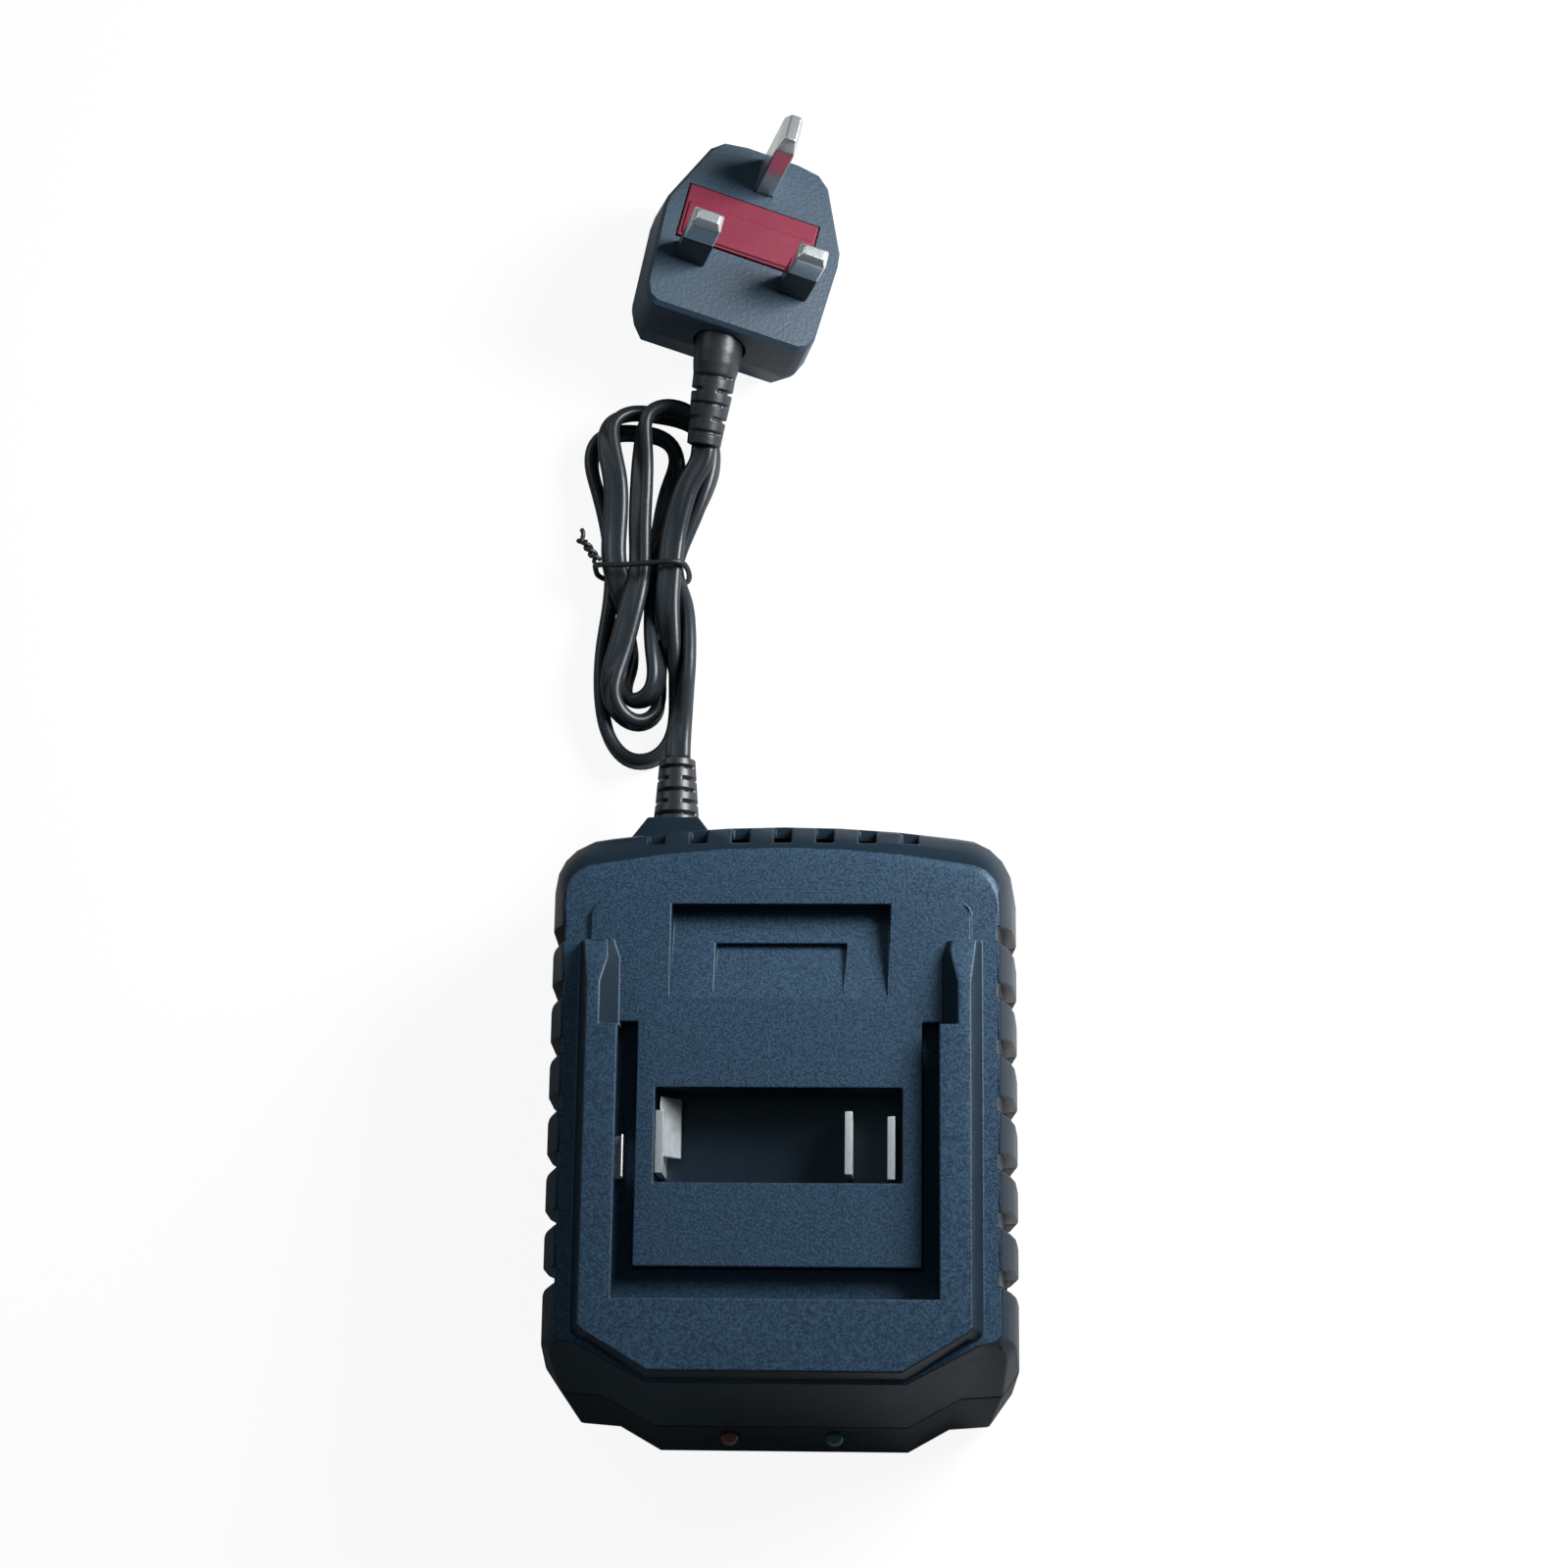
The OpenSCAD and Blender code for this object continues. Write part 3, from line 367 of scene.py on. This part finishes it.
def eroded(name, flat, sides_shaded):
    """Slate ABS from a mould that is spark-eroded on its flat top faces and
    smoother elsewhere.

    A face attribute is 1 where the plastic is eroded and blends two finishes,
    and with them painted shade. The eroded one, of colour `flat`, is mottled by
    noise at 0.4 and 1.2 mm, which also gives its bump. The other, of the second
    colour, is clouded by slow noise; it is darker than the first partly as painted
    shade on the side faces.
    """
    material, tree, shader = new_material(name)
    where = tree.nodes.new("ShaderNodeAttribute")
    where.attribute_name = "grain_and_shade"
    where = where.outputs["Fac"]
    flat, sides_shaded = np.array(flat), np.array(sides_shaded)
    fine, coarse, slow = noise(tree, 0.00042, 1), noise(tree, 0.0012, 2), noise(tree, 0.03, 3)
    pits = mixed(tree, ranged(tree, coarse, 0.3, 0.7, 0.05, 0.35), fine, coarse, "FLOAT")
    mottle = mixed(tree, ranged(tree, pits, 0.4, 0.66, 0, 1), flat * 0.72, flat * 1.56)
    # Painted shade: the side faces' colour is darker than the flats'
    plain = mixed(tree, slow, sides_shaded * 0.86, sides_shaded * 1.16)
    tree.links.new(mixed(tree, where, plain, mottle), shader.inputs["Base Color"])
    plain_rough = ranged(tree, slow, 0.3, 0.7, 0.29, 0.39)
    eroded_rough = ranged(tree, pits, 0.36, 0.64, 0.38, 0.54)
    tree.links.new(mixed(tree, where, plain_rough, eroded_rough, "FLOAT"),
                   shader.inputs["Roughness"])
    shader.inputs["Specular Tint"].default_value = (0.72, 0.88, 1, 1)
    tree.links.new(mixed(tree, where, 0.16, 0.36, "FLOAT"), shader.inputs["Specular IOR Level"])
    grained(tree, pits, 0.00012, ranged(tree, where, 0, 1, 0.12, 0.5))
    return material


def lies_flat(normals, middles):
    """1 on faces that face up, slopes of up to 35 degrees included, in the
    top 10 mm."""
    least_rise, lowest = 0.82, 36
    return (normals[:, 2] > least_rise) & (middles[:, 2] > lowest)


# Second colour: the side faces, darker partly as painted shade
case_top = eroded("upper case", (0.018, 0.0385, 0.067), (0.008, 0.016, 0.025))
top = softened("top_shell", "upper_case", case_top, 0.4, finish=lies_flat)
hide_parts("top_shell")
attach(top, "charger")


def beside_lights(middle):
    """True of the rims of the nose's two light holes, which stay sharp."""
    light_x, nose_y, lowest, highest = 10, -45, 5, 16
    in_nose = middle.y < nose_y and lowest < middle.z < highest
    return in_nose and abs(abs(middle.x) - light_x) < 3


# Nearly black, partly as painted shade on the nose, which lies in shade
case_bottom = plastic("lower case", (0.006, 0.010, 0.014), 0.42, bump=0.1, bump_size=0.0012,
                      cloud=0.12, cloud_size=0.03, specular=0.16)
bottom = softened("bottom_shell", "lower_case", case_bottom, 0.4, spare=beside_lights)
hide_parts("bottom_shell")
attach(bottom, "charger")

# Terminal holder and its contacts. Three nickel-plated brass blades are pressed
# through a black nylon plate under the case's window, the positive one with a
# folded flap, and a sprung leaf stands in the left channel for the battery.


def metal(name, colour, rough, grain_across=(300, 3000, 300), streak=0.04, tarnish=0.05,
          bump=0.03, metallic=1):
    """Plated or drawn metal.

    Fine noise, multiplied along each axis by `grain_across`, streaks the
    roughness and the bump, and slow noise clouds the colour.
    """
    material, tree, shader = new_material(name)
    base = np.array(colour)
    shader.inputs["Metallic"].default_value = metallic
    fine = noise(tree, 0.5, 3, grain_across)
    slow = noise(tree, 1 / 180, 4)
    tree.links.new(mixed(tree, slow, base * (1 - tarnish), base * (1 + tarnish)),
                   shader.inputs["Base Color"])
    tree.links.new(ranged(tree, fine, 0, 1, max(rough - streak, 0.03), rough + streak),
                   shader.inputs["Roughness"])
    grained(tree, fine, 0.00002, bump)
    return material


def dress(material, *names):
    """Gives carried-over solids a finish."""
    for name in names:
        for slot in nodes[name].material_slots:
            slot.material = material


nylon = plastic("holder nylon", (0.007, 0.015, 0.025), 0.3, bump=0.06, bump_size=0.0015,
                cloud=0.15, rough_vary=0.08)
dress(nylon, "terminal_holder")
nickel = metal("nickel plating", (0.86, 0.92, 0.96), 0.38, grain_across=(2500, 300, 2500),
               streak=0.14, tarnish=0.1, metallic=0.9)
for name in ("positive_blade", "sense_blade", "negative_blade", "detent_spring"):
    blade = softened(name, name + "_stamped", nickel, 0.18)
    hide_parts(name)
    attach(blade, "charger")

# Lights. Two 3.8 mm moulded lenses, red on the left and green on the right, sit
# in holes in the nose and stand a little proud of it.


def lens(name, colour):
    """Coloured clear plastic, glossy and a little cloudy inside."""
    material = plastic(name, colour, 0.12, cloud=0.25, cloud_size=0.003)
    shader = material.node_tree.nodes["Principled BSDF"]
    shader.inputs["Coat Weight"].default_value = 0.6
    shader.inputs["Coat Roughness"].default_value = 0.05
    return material


dress(lens("red lens", (0.16, 0.012, 0.016)), "red_light")
dress(lens("green lens", (0.008, 0.065, 0.035)), "green_light")

# Inside the case. A glass-epoxy board on four posts carries a small mains
# supply: fuse, varistor, capacitors, choke, bridge, switch on its heat sink,
# transformer and output parts, wired to the flex and to the blades.
dress(plastic("board lacquer", (0.012, 0.11, 0.035), 0.3, speckle=0.6, speckle_size=0.0012,
              bump=0.08, bump_size=0.0015), "circuit_board")
steel = metal("zinc-plated steel", (0.55, 0.56, 0.56), 0.33, grain_across=(900, 900, 900))
dress(steel, "board_screws", "casing_screws")
dress(plastic("rubber", (0.012, 0.012, 0.013), 0.75, bump=0.2, bump_size=0.0005), "rubber_feet")
dress(plastic("fuse sand glaze", (0.62, 0.56, 0.42), 0.35, speckle=0.2, speckle_size=0.0008),
      "board_fuse")
dress(plastic("varistor lacquer", (0.02, 0.09, 0.32), 0.3, bump=0.15, bump_size=0.0012),
      "surge_varistor")
dress(plastic("capacitor yellow", (0.62, 0.42, 0.03), 0.38, cloud=0.05), "suppression_capacitor")
copper_wire = metal("enamelled copper", (0.58, 0.22, 0.07), 0.24, grain_across=(2600, 300, 2600))
dress(copper_wire, "line_choke")
dress(plastic("epoxy black", (0.010, 0.010, 0.011), 0.45, bump=0.15, bump_size=0.0004),
      "bridge_rectifier", "switch_transistor", "output_diode", "control_chips")
dress(plastic("sleeve blue", (0.012, 0.03, 0.14), 0.3, cloud=0.08), "bulk_capacitor")
dress(plastic("sleeve grey", (0.16, 0.17, 0.18), 0.32, cloud=0.08), "output_capacitor")
dress(metal("extruded aluminium", (0.72, 0.73, 0.74), 0.35, grain_across=(300, 300, 3000)),
      "heat_sink")
dress(plastic("ferrite", (0.030, 0.029, 0.030), 0.6, speckle=0.4, bump=0.2, bump_size=0.0005),
      "transformer_core")
dress(plastic("winding tape", (0.72, 0.52, 0.05), 0.28, cloud=0.12, cloud_size=0.004),
      "transformer_coil")
dress(plastic("wire red", (0.30, 0.012, 0.010), 0.35, cloud=0.08), "terminal_leads")
dress(plastic("wire blue", (0.02, 0.07, 0.28), 0.35, cloud=0.08), "supply_leads")

# Strain reliefs. At the charger and at the plug the flex leaves through a black
# PVC sleeve moulded on it, with five slots that leave bridges at alternate
# sides, so that it bends evenly.


def turned_frame(start, end):
    """Three unit vectors: the direction from start to end, and two across it."""
    ahead = unit_rows(np.array(end, float) - np.array(start, float))
    side = unit_rows(np.cross(ahead, [0, 0, 1]))
    return ahead, side, np.cross(side, ahead)


def slotted_sleeve(start, end, profile, slots):
    """Closed sleeve round the line from start to end.

    Rows of `profile` are distance along the line and radius. Between rows of
    `slots` (from, to, core radius) the radius drops to the core with rounded
    lips, except on two bridges that face each other and turn by a quarter
    from slot to slot: radius = profile + (core - profile) * slot(along) *
    (1 - bridge(angle)).
    """
    step, around, lip, bridge_fade = 0.14, 72, 0.16, 0.05
    bridge_edge = np.cos(0.5)
    ahead, side, rise = turned_frame(start, end)
    profile = np.array(profile, float)
    along = []
    for low, high in zip(profile[:-1, 0], profile[1:, 0]):
        along.append(np.linspace(low, high, max(int((high - low) / step), 2), endpoint=False))
    along = np.append(np.concatenate(along), profile[-1, 0])
    angle = np.linspace(0, 2 * np.pi, around, endpoint=False)
    radius = np.interp(along, profile[:, 0], profile[:, 1])[:, None] * np.ones(around)
    for i, (low, high, core) in enumerate(slots):
        depth = np.clip(np.minimum(along - low, high - along) / lip, 0, 1)
        depth = depth * depth * (3 - 2 * depth)
        turn = angle + (np.pi / 2 if i % 2 else 0)
        hold = np.clip((np.abs(np.cos(turn)) - bridge_edge) / bridge_fade, 0, 1)
        radius += (core - radius) * depth[:, None] * (1 - hold)
    outward = np.cos(angle)[:, None] * side + np.sin(angle)[:, None] * rise
    rings = np.array(start, float) + ahead * along[:, None, None] + radius[..., None] * outward
    return lofted(rings, flip=True)


relief_black = plastic("relief pvc", (0.016, 0.019, 0.023), 0.36, bump=0.08, bump_size=0.0012,
                       cloud=0.15, cloud_size=0.006, rough_vary=0.08)
case_profile = [
    [0, 4.6], [0.15, 4.8], [1.85, 4.8], [2, 4.6], [2.05, 3.2], [9.5, 3.2],
    [9.52, 4.2], [9.65, 4.55], [10.9, 4.5], [13.3, 4.3], [15.7, 4.12],
    [18.1, 3.94], [20.5, 3.76], [22.7, 3.6], [22.9, 3.2]]
ring_pitch = 2.4
case_slots = [(10.9 + i * ring_pitch, 11.75 + i * ring_pitch, 3.0 - 0.1 * i) for i in range(5)]
case_sleeve = slotted_sleeve([-22.3, 51.1, 17], [-22.3, 74, 17], case_profile, case_slots)
case_relief = make_piece("case_strain_relief", case_sleeve, relief_black)
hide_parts("cord_relief")
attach(case_relief, "charger")

plug_neck = np.array([-15.2, 162.5, 19.9])
plug_neck_end = np.array([-18.5, 141.8, 15])
neck_ahead = unit_rows(plug_neck_end - plug_neck)
neck_length = np.linalg.norm(plug_neck_end - plug_neck)
buried = 6
plug_profile = [
    [0, 4.8], [0.2, 5], [8, 5], [10.5, 4.85], [12.6, 4.5], [13, 4.4], [16, 4.3],
    [19, 4.1], [22, 3.85], [25, 3.65], [neck_length + buried - 0.15, 3.5],
    [neck_length + buried, 3.2]]
ring_pitch = (neck_length - 7) / 5
plug_slots = [(13 + i * ring_pitch, 13.9 + i * ring_pitch, 3.4 - 0.12 * i) for i in range(5)]
plug_sleeve = slotted_sleeve(plug_neck - buried * neck_ahead, plug_neck_end, plug_profile,
                             plug_slots)
plug_relief = make_piece("plug_strain_relief", plug_sleeve, relief_black)
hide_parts("plug_relief")
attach(plug_relief, "charger")

# Twist tie. A wire in black PVC is looped round the hank, its ends twisted
# together at the left into a tail that forks at its tip.


def wire(knots, thickness):
    """Round wire: a circle carried along a smooth curve through the knots."""
    line = smooth_route(np.array(knots, float), 0.5)
    turn = np.linspace(0, 2 * np.pi, 10, endpoint=False)
    section = thickness / 2 * np.stack([np.cos(turn), np.sin(turn)], 1)
    ahead = unit_rows(np.gradient(line, axis=0))
    steady = np.where(np.abs(ahead[:, 1:2]) < 0.8, [[0, 1.0, 0]], [[0, 0, 1.0]])
    return lofted(tube_rings(line, np.cross(ahead, steady), section))


tie_black = plastic("tie pvc", (0.010, 0.010, 0.012), 0.42, bump=0.1, bump_size=0.0008)
tie_loop = [
    [-40.9, 117.6, 9.8], [-39.6, 117.2, 11.6], [-36, 117, 12.1], [-31.5, 116.9, 13],
    [-27.5, 116.9, 13.9], [-24.8, 117, 14.2], [-22.7, 117, 13.2], [-21.9, 116.8, 11],
    [-21.6, 116.4, 8], [-22, 116.2, 4.2], [-23.2, 116.4, 1.6], [-28, 116.8, 0.9],
    [-34, 117, 0.8], [-38, 117.2, 0.9], [-40.6, 117.4, 3], [-41.1, 117.6, 6.4],
    [-41, 117.8, 9]]
twist = np.linspace(0, 1, 26)
tail_axis = np.stack([-40.5 - 2.9 * twist, 118.6 + 4 * twist, 10 + 1.6 * twist], 1)
swing = 0.62 * (1 - 0.25 * twist)
strand = []
for phase in (0, np.pi):
    turn = 3.2 * np.pi * twist + phase
    strand.append(tail_axis + np.stack([
        swing * np.cos(turn), 0.4 * swing * np.cos(turn), swing * np.sin(turn)], 1))
fork_a = np.concatenate([strand[0][:-3], [[-43.3, 123.7, 11.9], [-43.7, 124.8, 12]]])
fork_b = np.concatenate([strand[1][:-3], [[-43.9, 122.2, 11.4], [-44.5, 122.7, 11.4]]])
tie_wires = joined([wire(tie_loop, 1.15), wire(fork_a, 0.95), wire(fork_b, 0.95)])
tie = make_piece("twist_tie", tie_wires, tie_black)
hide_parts("hank_tie")
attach(tie, "charger")

# Plug. A moulded body in textured blue-grey PVC with softly rounded edges, its
# pins facing up, holds the fuse between two spring contacts behind a red
# carrier, and is moulded onto the strain relief.
plug_black = plastic("plug pvc", (0.018, 0.038, 0.060), 0.46, speckle=0.35, bump=0.2,
                     bump_size=0.0007, cloud=0.08)
# Middle of the plug's face between line and neutral, and the directions from
# it to neutral, to the earth pin and out along the pins
face_at = np.array([-10.3, 175.2, 27])
face_axes = np.array([
    [0.9327, -0.2326, -0.2756], [0.2177, 0.9724, -0.0838], [0.2875, 0.0181, 0.9576]])


def slimmed(points):
    """Plug's walls in by a fifth of what lies beyond 15 mm from its middle,
    and its earth end 5% wider and 0.12 mm shorter."""
    kept_half, earth_end, middle_half = 15, 22, 4
    q = (points - face_at) @ face_axes.T
    beyond = np.maximum(np.abs(q[:, 0]) - kept_half, 0)
    q[:, 0] -= 0.2 * np.sign(q[:, 0]) * beyond
    corner = (q[:, 1] > earth_end) & (np.abs(q[:, 0]) > middle_half)
    q[corner, 0] *= 1.05
    q[corner, 1] -= 0.12
    return face_at + q @ face_axes


plug = softened("plug_body", "plug_moulding", plug_black, 0.6, clamp=True, reshape=slimmed)
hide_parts("plug_body")
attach(plug, "charger")

# Pins. Line and neutral are sawn from brass bar, nickel-plated and chamfered at
# the tip, each in a black nylon sleeve up to its last part; the earth pin is
# longer and bare.


def half_signs(a):
    """Sign of each number, or of the one before it where it is zero."""
    signs = np.sign(a)
    return np.where(np.abs(a) < 1e-9, np.roll(signs, 1), signs)


def bar(middle, levels, corner=0.5):
    """Bar standing on the plug's face, as a skin over rounded rectangles.

    `middle` is its place on the face, and rows of `levels` are height above
    the face, width and thickness. A rectangle's corners are arcs of `corner`
    millimetres, or less where it is small.
    """
    turn = np.radians(np.arange(0, 360, 15))
    rings = []
    for height, width, thick in levels:
        r = min(corner, 0.35 * width, 0.35 * thick)
        x, y = (r * a + half_signs(a) * (size / 2 - r)
                for a, size in ((np.cos(turn), width), (np.sin(turn), thick)))
        flat = np.stack([middle[0] + x, middle[1] + y, np.full(len(turn), height)], 1)
        rings.append(face_at + flat @ face_axes)
    return lofted(np.array(rings))


pin_metal = metal("pin plating", (0.74, 0.75, 0.76), 0.24, grain_across=(300, 300, 2600),
                  bump=0.0, metallic=0.9)
pin_pitch = 22.23
blade_levels = [
    [-8, 4.75, 2.4], [9.5, 4.75, 2.4], [9.52, 6.1, 3.75], [9.8, 6.35, 4], [15.9, 6.35, 4],
    [16.2, 6.2, 3.85], [17.4, 4.7, 2.4], [17.65, 4.3, 2.1], [17.7, 4.0, 1.8]]
earth_levels = [
    [-8, 4, 7.9], [18.6, 4, 7.9], [19.4, 3.8, 7.7], [21.9, 2.7, 6.2], [22.5, 2.3, 5.7],
    [22.73, 1.7, 5.1]]
line_and_neutral = joined([bar((x, 0), blade_levels) for x in (-pin_pitch / 2, pin_pitch / 2)])
earth = bar((0, pin_pitch), earth_levels)
for name, shape in (("power_pins", line_and_neutral), ("earth_pin", earth)):
    pin = make_piece(name + "_plated", shape, pin_metal)
    level_shading(pin)
    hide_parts(name)
    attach(pin, "charger")
sleeve_black = plastic("sleeve nylon", (0.012, 0.016, 0.020), 0.28)
sleeves = softened("pin_sleeves", "pin_sleeves_moulded", sleeve_black, 0.3)
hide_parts("pin_sleeves")
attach(sleeves, "charger")

# Fuse carrier. A smooth red cover, with a raised panel to pull it by, clips
# into the plug's face and lifts out with the cartridge fuse in its jaws.
carrier_red = plastic("carrier red", (0.145, 0.018, 0.036), 0.34, bump=0.05, bump_size=0.002,
                      cloud=0.08, cloud_size=0.01, rough_vary=0.06, specular=0.3)
carrier = softened("fuse_carrier", "fuse_carrier_cover", carrier_red, 0.3)
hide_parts("fuse_carrier")
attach(carrier, "carrier")
panel_levels = [[0.3, 26.6, 7.6], [0.6, 26.6, 7.6], [0.75, 26.3, 7.3], [0.8, 25.9, 6.9]]
panel = make_piece("fuse_carrier_panel", bar((-1, 7.5), panel_levels, 0.6), carrier_red)
panel.modifiers.new("shading", "WEIGHTED_NORMAL")
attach(panel, "carrier")

# Cartridge fuse and its contacts. A 25.4 mm fuse with a ceramic body between
# two pressed, nickel-plated caps rides in the carrier's jaws, and two brass
# springs in the plug grip the caps.
fuse_middle = np.array([-1, 9.2, -5.45])


def spindle(profile):
    """Surface turned about the fuse's axis, with flat ends.

    Rows of `profile` are distance along the axis from its middle and radius.
    """
    turn = np.linspace(0, 2 * np.pi, 48, endpoint=False)
    rings = [fuse_middle + np.stack([np.full(len(turn), along), radius * np.cos(turn),
                                     radius * np.sin(turn)], 1) for along, radius in profile]
    return lofted(face_at + np.array(rings) @ face_axes)


cap = np.array([[12.7, 2.6], [12.62, 2.95], [12.3, 3.15], [7, 3.15], [6.85, 3.1], [6.8, 3.0]])
caps = make_piece("fuse_caps", joined([spindle(cap[::-1]), spindle(cap * [-1, 1])]),
                  metal("fuse cap", (0.70, 0.70, 0.68), 0.25))
ceramic = make_piece("fuse_ceramic", spindle([[-7, 2.7], [-6.7, 2.95], [6.7, 2.95], [7, 2.7]]),
                     plastic("fuse ceramic", (0.62, 0.60, 0.54), 0.35, bump=0.03, cloud=0.04,
                             cloud_size=0.004))
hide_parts("plug_fuse")
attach(caps, "carrier")
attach(ceramic, "carrier")
dress(metal("brass", (0.75, 0.52, 0.2), 0.28), "fuse_contacts")

# Room. A pale floor under a near lamp at the back on the right, a larger and
# weaker one at the back on the left, and a faint bluish fill. What the camera
# sees of floor and sky is kept close to white.
floor_white, tree, shader = new_material("floor white")
shader.inputs["Base Color"].default_value = (0.4, 0.4, 0.4, 1)
shader.inputs["Roughness"].default_value = 0.6
glow = tree.nodes.new("ShaderNodeEmission")
glow.inputs["Color"].default_value = (1, 1, 1, 1)
glow.inputs["Strength"].default_value = 1.22


def seen_as(tree, output, plain, seen, share):
    """Mixes two shaders into an output: `share` of the second in what the
    camera sees, and the first alone for all other light."""
    ray = tree.nodes.new("ShaderNodeLightPath")
    part = tree.nodes.new("ShaderNodeMath")
    part.operation = "MULTIPLY"
    part.inputs[1].default_value = share
    blend = tree.nodes.new("ShaderNodeMixShader")
    tree.links.new(ray.outputs["Is Camera Ray"], part.inputs[0])
    tree.links.new(part.outputs["Value"], blend.inputs["Fac"])
    tree.links.new(plain.outputs[0], blend.inputs[1])
    tree.links.new(seen.outputs[0], blend.inputs[2])
    tree.links.new(blend.outputs["Shader"], tree.nodes[output].inputs["Surface"])


seen_as(tree, "Material Output", shader, glow, 0.75)
reach = 30000
corners = [(-reach, -reach, 0), (reach, -reach, 0), (reach, reach, 0), (-reach, reach, 0)]
floor = make_piece("floor", (corners, [(0, 1, 2, 3)]), floor_white)

world = bpy.data.worlds.new("world")
bpy.context.scene.world = world
world.use_nodes = True
tree = world.node_tree
sky = tree.nodes["Background"]
sky.inputs["Color"].default_value = (0.6, 0.88, 1, 1)
sky.inputs["Strength"].default_value = 0.13
white = tree.nodes.new("ShaderNodeBackground")
white.inputs["Color"].default_value = (1, 1, 1, 1)
seen_as(tree, "World Output", sky, white, 1)

bpy.context.scene.view_settings.view_transform = "Standard"


def soft_lamp(name, place, aim, size, power):
    """Square area lamp at a place, facing another."""
    data = bpy.data.lights.new(name, "AREA")
    data.shape = "SQUARE"
    data.size = size
    data.energy = power
    lamp = bpy.data.objects.new(name, data)
    back = unit_rows(np.array(place, float) - np.array(aim, float))
    side = unit_rows(np.cross([0, 0, 1], back))
    rise = np.cross(back, side)
    placed(lamp, side, rise, back, place)
    bpy.context.scene.collection.objects.link(lamp)


soft_lamp("lamp right", (0.24, 0.185, 0.215), (0, 0.05, 0), 0.17, 2.75)
soft_lamp("lamp left", (-0.65, 0.5, 0.5), (0, 0.05, 0), 0.5, 1.3)
